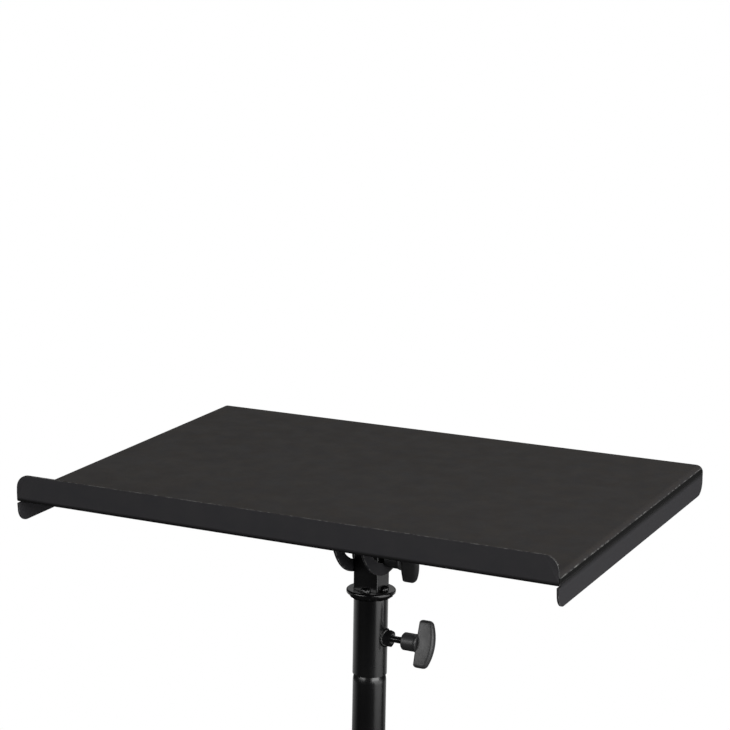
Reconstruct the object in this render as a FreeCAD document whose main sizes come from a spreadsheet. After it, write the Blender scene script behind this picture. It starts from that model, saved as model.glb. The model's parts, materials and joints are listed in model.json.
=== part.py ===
import FreeCAD, Part
import os
import Sketcher

# Tripod laptop stand in millimetres. Origin on the floor on the mast's axis, +X to the
# user's right, +Y away from the user, +Z up. The tray and its bracket are drawn square in
# a frame on the tilt axis and placed at their tilt.

doc = FreeCAD.newDocument("LaptopStand")
sheet = doc.addObject("Spreadsheet::Sheet", "Sizes")

driving_sizes = {
    # tray, one bent sheet
    "tray_width": 406.4,
    "tray_depth": 279.4,
    "front_reach": 147.9,
    "plate_rise": 30.2,
    "tray_gauge": 1.5,
    "flange_bend": 5.0,
    "bend_relief": 1.0,
    "lip_rise": 13.8,
    "lip_drop": 6.0,
    "lip_corner": 10.0,
    "flange_drop": 21.2,
    "flange_corner": 9.5,
    "tray_tilt": 2.65,
    # tilt bracket under the plate
    "bracket_gauge": 2.0,
    "bracket_bend": 3.0,
    "ear_radius": 41.3,
    "slot_radius": 29.2,
    "slot_clearance": 0.3,
    "slot_sweep": 90.0,
    # head: square block, ring and socket
    "tilt_axis_height": 780.0,
    "block_side": 19.6,
    "block_wall": 2.0,
    "block_corner": 1.2,
    "block_top": 13.0,
    "cheek_gap": 0.3,
    "ring_drop": 53.5,
    "ring_diameter": 36.0,
    "ring_gauge": 3.2,
    "ring_edge": 1.2,
    "socket_diameter": 25.2,
    "socket_wall": 1.2,
    "socket_length": 60.8,
    "socket_knob_drop": 89.0,
    # bolts and running fits
    "bolt_diameter": 5.0,
    "bolt_head_diameter": 10.0,
    "bolt_head_height": 2.0,
    "bolt_nut_flats": 8.0,
    "bolt_nut_height": 5.0,
    "bolt_end": 2.0,
    "running_gap": 0.05,
    "face_gap": 0.3,
    "nut_flats": 11.0,
    "nut_height": 5.2,
    # moulded T-knobs on their studs
    "stud_diameter": 5.0,
    "stud_showing": 8.9,
    "hub_diameter": 13.0,
    "hub_length": 11.4,
    "hub_nose": 1.0,
    "wing_span": 34.6,
    "wing_gauge": 7.0,
    "wing_depth": 9.4,
    "wing_crown": 4.0,
    "wing_corner": 2.0,
    "wing_edge": 1.0,
    "socket_knob_turn": -18.0,
    "tilt_knob_turn": 18.0,
    "lower_knob_turn": 10.0,
    # mast
    "mast_diameter": 24.6,
    "mast_wall": 1.5,
    "shoulder_height": 4.0,
    "upper_mast_foot": 220.0,
    "spigot_length": 50.0,
    "bushing_length": 30.0,
    "lower_mast_diameter": 30.0,
    "lower_mast_wall": 1.5,
    "lower_mast_foot": 70.0,
    "lower_mast_top": 510.0,
    "plug_depth": 14.0,
    "plug_rim": 5.0,
    # height collar
    "collar_diameter": 40.4,
    "collar_grip": 30.0,
    "collar_nose": 28.0,
    "collar_edge": 4.0,
    "boss_diameter": 18.0,
    "boss_reach": 25.0,
    # tripod
    "leg_diameter": 19.0,
    "leg_wall": 1.2,
    "leg_pivot_radius": 38.0,
    "leg_pivot_height": 300.0,
    "leg_head": 9.0,
    "sole_depth": 12.3,
    "foot_circle": 300.0,
    "foot_diameter": 25.0,
    "foot_grip": 28.0,
    "foot_edge": 2.0,
    "leg_collar_diameter": 38.4,
    "leg_collar_height": 44.0,
    "lug_gauge": 3.0,
    "lug_half_height": 9.5,
    "lug_corner": 6.0,
    "pin_diameter": 6.0,
    "hub_height": 26.0,
    "hub_pivot_radius": 29.0,
    "hub_pivot_height": 95.0,
    "brace_at": 215.0,
    "brace_width": 13.0,
    "brace_gauge": 2.0,
    "brace_corner": 5.5,
    "brace_gap": 0.1,
}
for row, (alias, size) in enumerate(driving_sizes.items(), start=1):
    sheet.set(f"A{row}", str(size))
    sheet.setAlias(f"A{row}", alias)
doc.recompute()

pieces = []
close = 0.01


def number(expression):
    value = sheet.evalExpression(expression)
    return float(getattr(value, "Value", value))


# Placements as expressions

def vector(x="0", y="0", z="0"):
    return f"create(<<vector>>; {x}; {y}; {z})"


def placed(x="0", y="0", z="0", axis=("0", "0", "1"), turn="0"):
    rotation = f"create(<<rotation>>; {vector(*axis)}; {turn})"
    return f"create(<<placement>>; {vector(x, y, z)}; {rotation})"


x_axis = ("1", "0", "0")
y_axis = ("0", "1", "0")
z_axis = ("0", "0", "1")


# Sketches and features

def new_body(label, place=None):
    body = doc.addObject("PartDesign::Body", label)
    body.Label = label
    if place:
        body.setExpression("Placement", place)
    pieces.append(body)
    return body


def sketch_on(body, role, offset="0"):
    sketch = body.newObject("Sketcher::SketchObject", f"{body.Name}_sketch")
    plane = next(p for p in body.Origin.OriginFeatures if p.Role == role)
    sketch.AttachmentSupport = [(plane, "")]
    sketch.MapMode = "FlatFace"
    sketch.setExpression("AttachmentOffset.Base.z", offset)
    return sketch


def tie_point(sketch, geometry, end, x, y):
    for kind, expression in (("DistanceX", x), ("DistanceY", y)):
        rule = Sketcher.Constraint(kind, -1, 1, geometry, end, number(expression))
        sketch.setExpression(f"Constraints[{sketch.addConstraint(rule)}]", expression)


def tie_radius(sketch, geometry, radius):
    rule = Sketcher.Constraint("Radius", geometry, number(radius))
    sketch.setExpression(f"Constraints[{sketch.addConstraint(rule)}]", radius)


def outline(sketch, corners, arcs=None):
    # straight sides through the corners, apart from sides listed in arcs: each arc passes
    # through a point, and one coordinate of its centre is tied
    arcs = arcs or {}
    points = [FreeCAD.Vector(number(x), number(y), 0) for x, y in corners]
    sides = []
    for side, start in enumerate(points):
        finish = points[(side + 1) % len(points)]
        if side in arcs:
            through = FreeCAD.Vector(*[number(part) for part in arcs[side][0]], 0)
            geometry = sketch.addGeometry(Part.Arc(start, through, finish))
            # arcs are stored anticlockwise, so the first end may be the finish
            forward = sketch.getPoint(geometry, 1).distanceToPoint(start) < close
            sides.append((geometry, 1, 2) if forward else (geometry, 2, 1))
        else:
            geometry = sketch.addGeometry(Part.LineSegment(start, finish))
            sides.append((geometry, 1, 2))
    for side, (x, y) in enumerate(corners):
        geometry, start_end, finish_end = sides[side]
        before, before_start, before_finish = sides[side - 1]
        sketch.addConstraint(
            Sketcher.Constraint("Coincident", before, before_finish, geometry, start_end))
        tie_point(sketch, geometry, start_end, x, y)
    for side, (through, kind, expression) in arcs.items():
        rule = Sketcher.Constraint(kind, -1, 1, sides[side][0], 3, number(expression))
        sketch.setExpression(f"Constraints[{sketch.addConstraint(rule)}]", expression)


def rectangle(sketch, left, right, low, high):
    outline(sketch, [(left, low), (right, low), (right, high), (left, high)])


def circle(sketch, radius, x="0", y="0"):
    centre = FreeCAD.Vector(number(x), number(y), 0)
    shape = Part.Circle(centre, FreeCAD.Vector(0, 0, 1), number(radius))
    geometry = sketch.addGeometry(shape)
    tie_point(sketch, geometry, 3, x, y)
    tie_radius(sketch, geometry, radius)


def pad(body, sketch, length, both_ways=False, reverse=False):
    feature = body.newObject("PartDesign::Pad", f"{body.Name}_pad")
    feature.Profile = sketch
    feature.setExpression("Length", length)
    feature.Midplane = both_ways
    feature.Reversed = reverse
    doc.recompute()
    return feature


def cut_through(body, sketch):
    feature = body.newObject("PartDesign::Pocket", f"{body.Name}_cut")
    feature.Profile = sketch
    feature.Type = "ThroughAll"
    feature.Midplane = True
    doc.recompute()
    return feature


def turned(body, sketch, kind="PartDesign::Revolution", axis="V_Axis", angle="360", both_ways=False):
    feature = body.newObject(kind, f"{body.Name}_turned")
    feature.Profile = sketch
    feature.ReferenceAxis = (sketch, [axis])
    feature.Midplane = both_ways
    feature.setExpression("Angle", angle)
    doc.recompute()
    return feature


def rounded(body, radius, chosen):
    base = body.Tip
    names = [f"Edge{i}" for i, edge in enumerate(base.Shape.Edges, start=1) if chosen(edge)]
    feature = body.newObject("PartDesign::Fillet", f"{body.Name}_round")
    feature.Base = (base, names)
    feature.setExpression("Radius", radius)
    doc.recompute()
    return feature


def polar(body, originals, copies):
    feature = body.newObject("PartDesign::PolarPattern", f"{body.Name}_pattern")
    feature.Originals = originals
    plane_axis = next(p for p in body.Origin.OriginFeatures if p.Role == "Z_Axis")
    feature.Axis = (plane_axis, [""])
    feature.Angle = 360
    feature.Occurrences = copies
    body.Tip = feature
    doc.recompute()
    return feature


# Edge tests: straight along one axis, and where the edge lies

def runs_along(edge, direction):
    if edge.Curve.TypeId != "Part::GeomLine":
        return False
    return abs(abs(edge.tangentAt(edge.FirstParameter).dot(direction)) - 1) < close


def edge_middle(edge):
    return edge.valueAt((edge.FirstParameter + edge.LastParameter) / 2)


along_x = FreeCAD.Vector(1, 0, 0)
along_y = FreeCAD.Vector(0, 1, 0)
along_z = FreeCAD.Vector(0, 0, 1)


# Tray: channel with side flanges, relieved at the front, and a lip with a folded lower edge

on_tilt_axis = placed(z="Sizes.tilt_axis_height", axis=x_axis, turn="Sizes.tray_tilt")
half_width = "Sizes.tray_width / 2"
plate_top = "Sizes.plate_rise"
plate_under = "(Sizes.plate_rise - Sizes.tray_gauge)"
flange_low = "(Sizes.plate_rise - Sizes.flange_drop)"
tray_front = "-Sizes.front_reach"
tray_back = "(Sizes.tray_depth - Sizes.front_reach)"
lip_top = "(Sizes.plate_rise + Sizes.lip_rise)"
lip_low = "(Sizes.plate_rise - Sizes.lip_drop)"


def make_tray():
    body = new_body("tray", on_tilt_axis)
    inner_side = f"({half_width} - Sizes.tray_gauge)"
    channel = sketch_on(body, "XZ_Plane", f"-{tray_back}")
    outline(channel, [
        (f"-{half_width}", flange_low), (f"-{half_width}", plate_top),
        (half_width, plate_top), (half_width, flange_low),
        (inner_side, flange_low), (inner_side, plate_under),
        (f"-{inner_side}", plate_under), (f"-{inner_side}", flange_low),
    ])
    pad(body, channel, "Sizes.tray_depth")
    high = number(plate_under) - close
    outer_x = number(half_width)
    inner_x = number(inner_side)

    def outer_bend(edge):
        middle = edge_middle(edge)
        return runs_along(edge, along_y) and middle.z > high and abs(abs(middle.x) - outer_x) < close

    def inner_bend(edge):
        middle = edge_middle(edge)
        return runs_along(edge, along_y) and middle.z > high and abs(abs(middle.x) - inner_x) < close

    rounded(body, "Sizes.flange_bend", outer_bend)
    rounded(body, "Sizes.flange_bend - Sizes.tray_gauge", inner_bend)

    # the flanges alone run on under the lip
    lip_back = f"({tray_front} + Sizes.tray_gauge)"
    fold_back = f"({tray_front} + 2 * Sizes.tray_gauge)"
    fold_centre = f"({lip_low} + Sizes.tray_gauge)"
    bend_start = f"({fold_back} + Sizes.bend_relief)"
    relief = sketch_on(body, "YZ_Plane")
    rectangle(relief, f"({tray_front} - Sizes.bend_relief)", bend_start,
              f"({lip_low} - Sizes.bend_relief)", f"({plate_top} + Sizes.bend_relief)")
    cut_through(body, relief)

    # the sheet turns down, folds flat on itself and stands up as the lip
    lip = sketch_on(body, "YZ_Plane")
    outline(
        lip,
        [(bend_start, plate_under), (bend_start, plate_top), (lip_back, plate_top),
         (lip_back, lip_top), (tray_front, lip_top), (tray_front, fold_centre),
         (fold_back, fold_centre), (fold_back, plate_under)],
        {5: ((lip_back, lip_low), "DistanceY", fold_centre)})
    pad(body, lip, "Sizes.tray_width", both_ways=True)
    top_z = number(lip_top)

    def lip_end(edge):
        return runs_along(edge, along_y) and abs(edge_middle(edge).z - top_z) < close

    def flange_end(edge):
        return runs_along(edge, along_x) and abs(edge_middle(edge).z - number(flange_low)) < close

    rounded(body, "Sizes.lip_corner", lip_end)
    rounded(body, "Sizes.flange_corner", flange_end)


# Tilt bracket: web under the plate, two round ears, arc slots for the clamp bolt

ear_inside = "(Sizes.block_side / 2 + Sizes.cheek_gap)"
ear_outside = f"({ear_inside} + Sizes.bracket_gauge)"
bolt_radius = "Sizes.bolt_diameter / 2"
pivot_hole = f"({bolt_radius} + Sizes.running_gap)"
slot_half_width = f"({bolt_radius} + Sizes.slot_clearance)"


def make_bracket():
    body = new_body("tilt_bracket", on_tilt_axis)
    ear = sketch_on(body, "YZ_Plane")
    reach = "Sizes.ear_radius"
    outline(
        ear,
        [(reach, "0"), (reach, plate_under), (f"-{reach}", plate_under), (f"-{reach}", "0")],
        {3: (("0", f"-{reach}"), "DistanceY", "0")})
    pad(body, ear, f"2 * {ear_outside}", both_ways=True)

    web_under = f"({plate_under} - Sizes.bracket_gauge)"
    inside = sketch_on(body, "XZ_Plane")
    rectangle(inside, f"-{ear_inside}", ear_inside, f"-2 * {reach}", web_under)
    cut_through(body, inside)

    def outer_bend(edge):
        return runs_along(edge, along_y) and abs(edge_middle(edge).z - number(plate_under)) < close

    def inner_bend(edge):
        return runs_along(edge, along_y) and abs(edge_middle(edge).z - number(web_under)) < close

    rounded(body, "Sizes.bracket_bend", outer_bend)
    rounded(body, "Sizes.bracket_bend - Sizes.bracket_gauge", inner_bend)

    slot = sketch_on(body, "XZ_Plane")
    rectangle(slot, f"-2 * {ear_outside}", f"2 * {ear_outside}",
              f"-(Sizes.slot_radius + {slot_half_width})", f"-(Sizes.slot_radius - {slot_half_width})")
    turned(body, slot, "PartDesign::Groove", "H_Axis", "Sizes.slot_sweep", both_ways=True)

    holes = sketch_on(body, "YZ_Plane")
    circle(holes, pivot_hole)
    end_y = "Sizes.slot_radius * sin(Sizes.slot_sweep / 2)"
    end_z = "-Sizes.slot_radius * cos(Sizes.slot_sweep / 2)"
    circle(holes, slot_half_width, end_y, end_z)
    circle(holes, slot_half_width, f"-{end_y}", end_z)
    cut_through(body, holes)


# Head: block, ring, socket and its nut, bolts

ring_top = "(Sizes.tilt_axis_height - Sizes.ring_drop)"
socket_top = f"({ring_top} - Sizes.ring_gauge)"
socket_foot = f"({socket_top} - Sizes.socket_length)"
socket_bore = "(Sizes.socket_diameter / 2 - Sizes.socket_wall)"
socket_knob_height = "(Sizes.tilt_axis_height - Sizes.socket_knob_drop)"
clamp_height = "(Sizes.tilt_axis_height - Sizes.slot_radius)"
stud_radius = "Sizes.stud_diameter / 2"
stud_hole = f"({stud_radius} + Sizes.running_gap)"


def make_head_block():
    body = new_body("head_block", placed(z="Sizes.tilt_axis_height"))
    half = "Sizes.block_side / 2"
    bore = f"({half} - Sizes.block_wall)"
    section = sketch_on(body, "XY_Plane", "-Sizes.ring_drop")
    rectangle(section, f"-{half}", half, f"-{half}", half)
    rectangle(section, f"-{bore}", bore, f"-{bore}", bore)
    pad(body, section, "Sizes.ring_drop + Sizes.block_top")
    corner = number(half)

    def outer_corner(edge):
        middle = edge_middle(edge)
        return runs_along(edge, along_z) and abs(abs(middle.x) - corner) < close

    rounded(body, "Sizes.block_corner", outer_corner)
    holes = sketch_on(body, "YZ_Plane")
    circle(holes, bolt_radius)
    circle(holes, bolt_radius, "0", "-Sizes.slot_radius")
    cut_through(body, holes)


def make_head_ring():
    body = new_body("head_ring", placed(z=socket_top))
    disc = sketch_on(body, "XY_Plane")
    circle(disc, "Sizes.ring_diameter / 2")
    pad(body, disc, "Sizes.ring_gauge")
    rounded(body, "Sizes.ring_edge", lambda edge: edge.Curve.TypeId == "Part::GeomCircle")


def make_head_socket():
    body = new_body("head_socket", placed(z=socket_foot))
    ring = sketch_on(body, "XY_Plane")
    circle(ring, "Sizes.socket_diameter / 2")
    circle(ring, socket_bore)
    pad(body, ring, "Sizes.socket_length")
    side_hole(body, f"({socket_knob_height} - {socket_foot})")


def side_hole(body, height):
    hole = sketch_on(body, "YZ_Plane")
    circle(hole, stud_hole, "0", height)
    feature = body.newObject("PartDesign::Pocket", f"{body.Name}_hole")
    feature.Profile = hole
    feature.Type = "ThroughAll"
    feature.Reversed = True
    doc.recompute()


def make_weld_nut():
    across = "Sizes.nut_flats / sqrt(3)"
    reach = "(Sizes.socket_diameter / 2 + Sizes.nut_height)"
    hexagon = doc.addObject("Part::Prism", "weld_nut_hexagon")
    hexagon.Polygon = 6
    hexagon.setExpression("Circumradius", across)
    hexagon.setExpression("Height", reach)
    hexagon.setExpression("Placement", placed(z=socket_knob_height, axis=y_axis, turn="90"))
    thread = x_cylinder("weld_nut_thread", stud_hole, f"2 * {reach}", socket_knob_height)
    saddle = doc.addObject("Part::Cylinder", "weld_nut_saddle")
    saddle.setExpression("Radius", "Sizes.socket_diameter / 2")
    saddle.setExpression("Height", "Sizes.socket_length")
    saddle.setExpression("Placement", placed(z=socket_foot))
    pieces.append(cut_away("weld_nut", hexagon, joined("weld_nut_tools", [thread, saddle])))


def x_cylinder(name, radius, length, height, start="0"):
    # a cylinder along +X at a height on the mast's axis
    rod = doc.addObject("Part::Cylinder", name)
    rod.setExpression("Radius", radius)
    rod.setExpression("Height", length)
    rod.setExpression("Placement", placed(x=start, z=height, axis=y_axis, turn="90"))
    return rod


def cut_away(label, base, tool):
    result = doc.addObject("Part::Cut", label)
    result.Base = base
    result.Tool = tool
    result.Label = label
    return result


def joined(label, shapes):
    result = doc.addObject("Part::MultiFuse", label)
    result.Shapes = shapes
    result.Refine = True
    result.Label = label
    return result


def make_bolts():
    head_face = f"-({ear_outside} + Sizes.face_gap)"
    head_start = f"({head_face} - Sizes.bolt_head_height)"
    nut_face = f"({ear_outside} + Sizes.face_gap)"
    for label, height, end in (
        ("pivot_bolt", "Sizes.tilt_axis_height", f"({nut_face} + Sizes.bolt_nut_height + Sizes.bolt_end)"),
        ("tilt_bolt", clamp_height, f"({nut_face} + Sizes.hub_length - Sizes.face_gap)"),
    ):
        shank = x_cylinder(f"{label}_shank", bolt_radius, f"({end} - {head_face})", height, head_face)
        head = x_cylinder(f"{label}_head", "Sizes.bolt_head_diameter / 2", "Sizes.bolt_head_height",
                          height, head_start)
        pieces.append(joined(label, [shank, head]))
    hexagon = doc.addObject("Part::Prism", "pivot_nut_hexagon")
    hexagon.Polygon = 6
    hexagon.setExpression("Circumradius", "Sizes.bolt_nut_flats / sqrt(3)")
    hexagon.setExpression("Height", "Sizes.bolt_nut_height")
    hexagon.setExpression(
        "Placement", placed(x=nut_face, z="Sizes.tilt_axis_height", axis=y_axis, turn="90"))
    thread = x_cylinder("pivot_nut_thread", bolt_radius, "Sizes.bolt_nut_height",
                        "Sizes.tilt_axis_height", nut_face)
    pieces.append(cut_away("pivot_nut", hexagon, thread))


# T-knobs: turned hub with a chamfered nose, flat wing with a crowned face

def make_knob(label, place, bore, bore_depth="Sizes.hub_length"):
    body = new_body(label, place)
    half = sketch_on(body, "XY_Plane")
    hub_radius = "Sizes.hub_diameter / 2"
    wing_start = "Sizes.hub_length"
    outline(half, [
        ("0", "0"), ("0", f"({hub_radius} - Sizes.hub_nose)"), ("Sizes.hub_nose", hub_radius),
        (wing_start, hub_radius), (wing_start, "0"),
    ])
    turned(body, half, axis="H_Axis")

    wing = sketch_on(body, "XZ_Plane")
    wing_end = f"({wing_start} + Sizes.wing_depth)"
    half_span = "Sizes.wing_span / 2"
    crown_radius = f"(pow({half_span}; 2) + pow(Sizes.wing_crown; 2)) / (2 * Sizes.wing_crown)"
    crown_top = f"({wing_end} + Sizes.wing_crown)"
    outline(
        wing,
        [(wing_end, half_span), (wing_start, half_span),
         (wing_start, f"-{half_span}"), (wing_end, f"-{half_span}")],
        {3: ((crown_top, "0"), "DistanceX", f"{crown_top} - {crown_radius}")})
    pad(body, wing, "Sizes.wing_gauge", both_ways=True)
    wing_tip = number(half_span) - close
    side = number("Sizes.wing_gauge / 2")

    back_face = number(wing_start) + close

    def tip_corner(edge):
        middle = edge_middle(edge)
        return runs_along(edge, along_y) and abs(middle.z) > wing_tip and middle.x > back_face

    def wing_rim(edge):
        middle = edge_middle(edge)
        return abs(abs(middle.y) - side) < close and middle.x > back_face

    rounded(body, "Sizes.wing_corner", tip_corner)
    rounded(body, "Sizes.wing_edge", wing_rim)
    hole = sketch_on(body, "YZ_Plane")
    circle(hole, bore)
    feature = body.newObject("PartDesign::Pocket", f"{body.Name}_bore")
    feature.Profile = hole
    feature.Reversed = True
    feature.setExpression("Length", bore_depth)
    doc.recompute()
    return body


def knob_place(height, nose, azimuth, turn):
    swung = placed(z=height, axis=z_axis, turn=azimuth)
    return f"{swung} * {placed(x=nose, axis=x_axis, turn=turn)}"


def make_stud(label, height, azimuth, tip, nose):
    stud = doc.addObject("Part::Cylinder", label)
    stud.Label = label
    stud.setExpression("Radius", stud_radius)
    stud.setExpression("Height", f"{nose} + Sizes.hub_length - ({tip})")
    swung = placed(z=height, axis=z_axis, turn=azimuth)
    stud.setExpression("Placement", f"{swung} * {placed(x=tip, axis=y_axis, turn='90')}")
    pieces.append(stud)


# Mast: upper tube with a necked spigot, bushing, lower tube, bottom plug

mast_radius = "Sizes.mast_diameter / 2"
spigot_radius = f"({socket_bore} - Sizes.running_gap)"
shoulder_top = f"({socket_foot} - Sizes.face_gap)"
shoulder_foot = f"({shoulder_top} - Sizes.shoulder_height)"
lower_bore = "(Sizes.lower_mast_diameter / 2 - Sizes.lower_mast_wall)"


def make_upper_mast():
    body = new_body("upper_mast")
    half = sketch_on(body, "XZ_Plane")
    spigot_top = f"({shoulder_top} + Sizes.spigot_length)"
    outline(half, [
        (f"({mast_radius} - Sizes.mast_wall)", "Sizes.upper_mast_foot"),
        (mast_radius, "Sizes.upper_mast_foot"), (mast_radius, shoulder_foot),
        (spigot_radius, shoulder_top), (spigot_radius, spigot_top),
        (f"({spigot_radius} - Sizes.mast_wall)", spigot_top),
        (f"({spigot_radius} - Sizes.mast_wall)", shoulder_top),
        (f"({mast_radius} - Sizes.mast_wall)", shoulder_foot),
    ])
    turned(body, half)


def make_ring_piece(label, outer, bore, length, height):
    body = new_body(label, placed(z=height))
    ring = sketch_on(body, "XY_Plane")
    circle(ring, outer)
    circle(ring, bore)
    pad(body, ring, length)
    return body


def make_mast_plug():
    body = new_body("mast_plug", placed(z="Sizes.lower_mast_foot"))
    half = sketch_on(body, "XZ_Plane")
    rim = "Sizes.lower_mast_diameter / 2"
    outline(half, [
        ("0", "-Sizes.plug_rim"), (rim, "-Sizes.plug_rim"), (rim, "0"),
        (lower_bore, "0"), (lower_bore, "Sizes.plug_depth"), ("0", "Sizes.plug_depth"),
    ])
    turned(body, half)


def make_height_collar():
    body = new_body("height_collar", placed(z="Sizes.lower_mast_top"))
    half = sketch_on(body, "XZ_Plane")
    outer = "Sizes.collar_diameter / 2"
    outline(half, [
        ("Sizes.lower_mast_diameter / 2", "-Sizes.collar_grip"), (outer, "-Sizes.collar_grip"),
        (outer, "Sizes.collar_nose - Sizes.collar_edge"),
        (f"({outer} - Sizes.collar_edge)", "Sizes.collar_nose"),
        (f"({mast_radius} + Sizes.running_gap)", "Sizes.collar_nose"),
        (f"({mast_radius} + Sizes.running_gap)", "0"),
        ("Sizes.lower_mast_diameter / 2", "0"),
    ])
    turned(body, half)
    boss = sketch_on(body, "YZ_Plane", f"({mast_radius} + {outer}) / 2")
    boss_height = "Sizes.collar_nose / 2"
    circle(boss, "Sizes.boss_diameter / 2", "0", boss_height)
    pad(body, boss, f"Sizes.boss_reach - ({mast_radius} + {outer}) / 2")
    side_hole(body, boss_height)


# Tripod: sliding collar with lugs, legs, feet, brace hub and brace strips

leg_spread = "(Sizes.foot_circle - Sizes.leg_pivot_radius)"
leg_lean = f"atan2({leg_spread}; Sizes.leg_pivot_height)"
lug_inside = "(Sizes.leg_diameter / 2 + Sizes.cheek_gap)"
lug_outside = f"({lug_inside} + Sizes.lug_gauge)"
pin_radius = "Sizes.pin_diameter / 2"
brace_inside = "(Sizes.leg_diameter / 2 + Sizes.brace_gap)"
brace_outside = f"({brace_inside} + Sizes.brace_gauge)"
leg_sides = ("back", "front_left", "front_right")
leg_count = len(leg_sides)
leg_reach = f"(Sizes.leg_pivot_height / cos({leg_lean}) - Sizes.sole_depth)"


def lug_outline(sketch, start, pivot, height):
    end = f"({pivot} + Sizes.lug_half_height)"
    rectangle(sketch, start, end, f"({height} - Sizes.lug_half_height)",
              f"({height} + Sizes.lug_half_height)")


def round_lugs(body, pivot):
    tip = number(f"({pivot} + Sizes.lug_half_height)")
    outward = [FreeCAD.Vector(number(f"cos({turn} * 360 / {leg_count})"),
                              number(f"sin({turn} * 360 / {leg_count})"), 0) for turn in range(leg_count)]

    def lug_tip(edge):
        if edge.Curve.TypeId != "Part::GeomLine" or runs_along(edge, along_z):
            return False
        return any(abs(edge_middle(edge).dot(way) - tip) < close for way in outward)

    return rounded(body, "Sizes.lug_corner", lug_tip)


def make_leg_collar():
    body = new_body("leg_collar", placed(axis=z_axis, turn="90"))
    outer = "Sizes.leg_collar_diameter / 2"
    half_height = "Sizes.leg_collar_height / 2"
    low = f"(Sizes.leg_pivot_height - {half_height})"
    ring = sketch_on(body, "XY_Plane", low)
    circle(ring, outer)
    pad(body, ring, "Sizes.leg_collar_height")

    lug = sketch_on(body, "XZ_Plane")
    lug_outline(lug, "0", "Sizes.leg_pivot_radius", "Sizes.leg_pivot_height")
    lug_pad = pad(body, lug, f"2 * {lug_outside}", both_ways=True)
    lug_slot = sketch_on(body, "XY_Plane", "Sizes.leg_pivot_height")
    rectangle(lug_slot, outer, "Sizes.leg_pivot_radius + 2 * Sizes.lug_half_height",
              f"-{lug_inside}", lug_inside)
    slot_cut = cut_through(body, lug_slot)
    pin_hole = sketch_on(body, "XZ_Plane")
    circle(pin_hole, pin_radius, "Sizes.leg_pivot_radius", "Sizes.leg_pivot_height")
    pin_cut = cut_through(body, pin_hole)
    polar(body, [lug_pad, slot_cut, pin_cut], leg_count)
    round_lugs(body, "Sizes.leg_pivot_radius")

    boss = sketch_on(body, "YZ_Plane")
    circle(boss, "Sizes.boss_diameter / 2", "0", "Sizes.leg_pivot_height")
    pad(body, boss, "Sizes.boss_reach", reverse=True)
    stud_cut = sketch_on(body, "YZ_Plane")
    circle(stud_cut, stud_hole, "0", "Sizes.leg_pivot_height")
    feature = body.newObject("PartDesign::Pocket", "leg_collar_hole")
    feature.Profile = stud_cut
    feature.Type = "ThroughAll"
    doc.recompute()
    bore = sketch_on(body, "XY_Plane")
    circle(bore, "Sizes.lower_mast_diameter / 2 + Sizes.running_gap")
    cut_through(body, bore)


def make_brace_hub():
    body = new_body("brace_hub", placed(axis=z_axis, turn="90"))
    low = "(Sizes.hub_pivot_height - Sizes.hub_height / 2)"
    ring = sketch_on(body, "XY_Plane", low)
    circle(ring, "Sizes.leg_collar_diameter / 2")
    pad(body, ring, "Sizes.hub_height")
    lug = sketch_on(body, "XZ_Plane")
    lug_outline(lug, "0", "Sizes.hub_pivot_radius", "Sizes.hub_pivot_height")
    lug_pad = pad(body, lug, "Sizes.leg_diameter", both_ways=True)
    pin_hole = sketch_on(body, "XZ_Plane")
    circle(pin_hole, pin_radius, "Sizes.hub_pivot_radius", "Sizes.hub_pivot_height")
    pin_cut = cut_through(body, pin_hole)
    polar(body, [lug_pad, pin_cut], leg_count)
    round_lugs(body, "Sizes.hub_pivot_radius")
    bore = sketch_on(body, "XY_Plane")
    circle(bore, "Sizes.lower_mast_diameter / 2")
    cut_through(body, bore)


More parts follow.
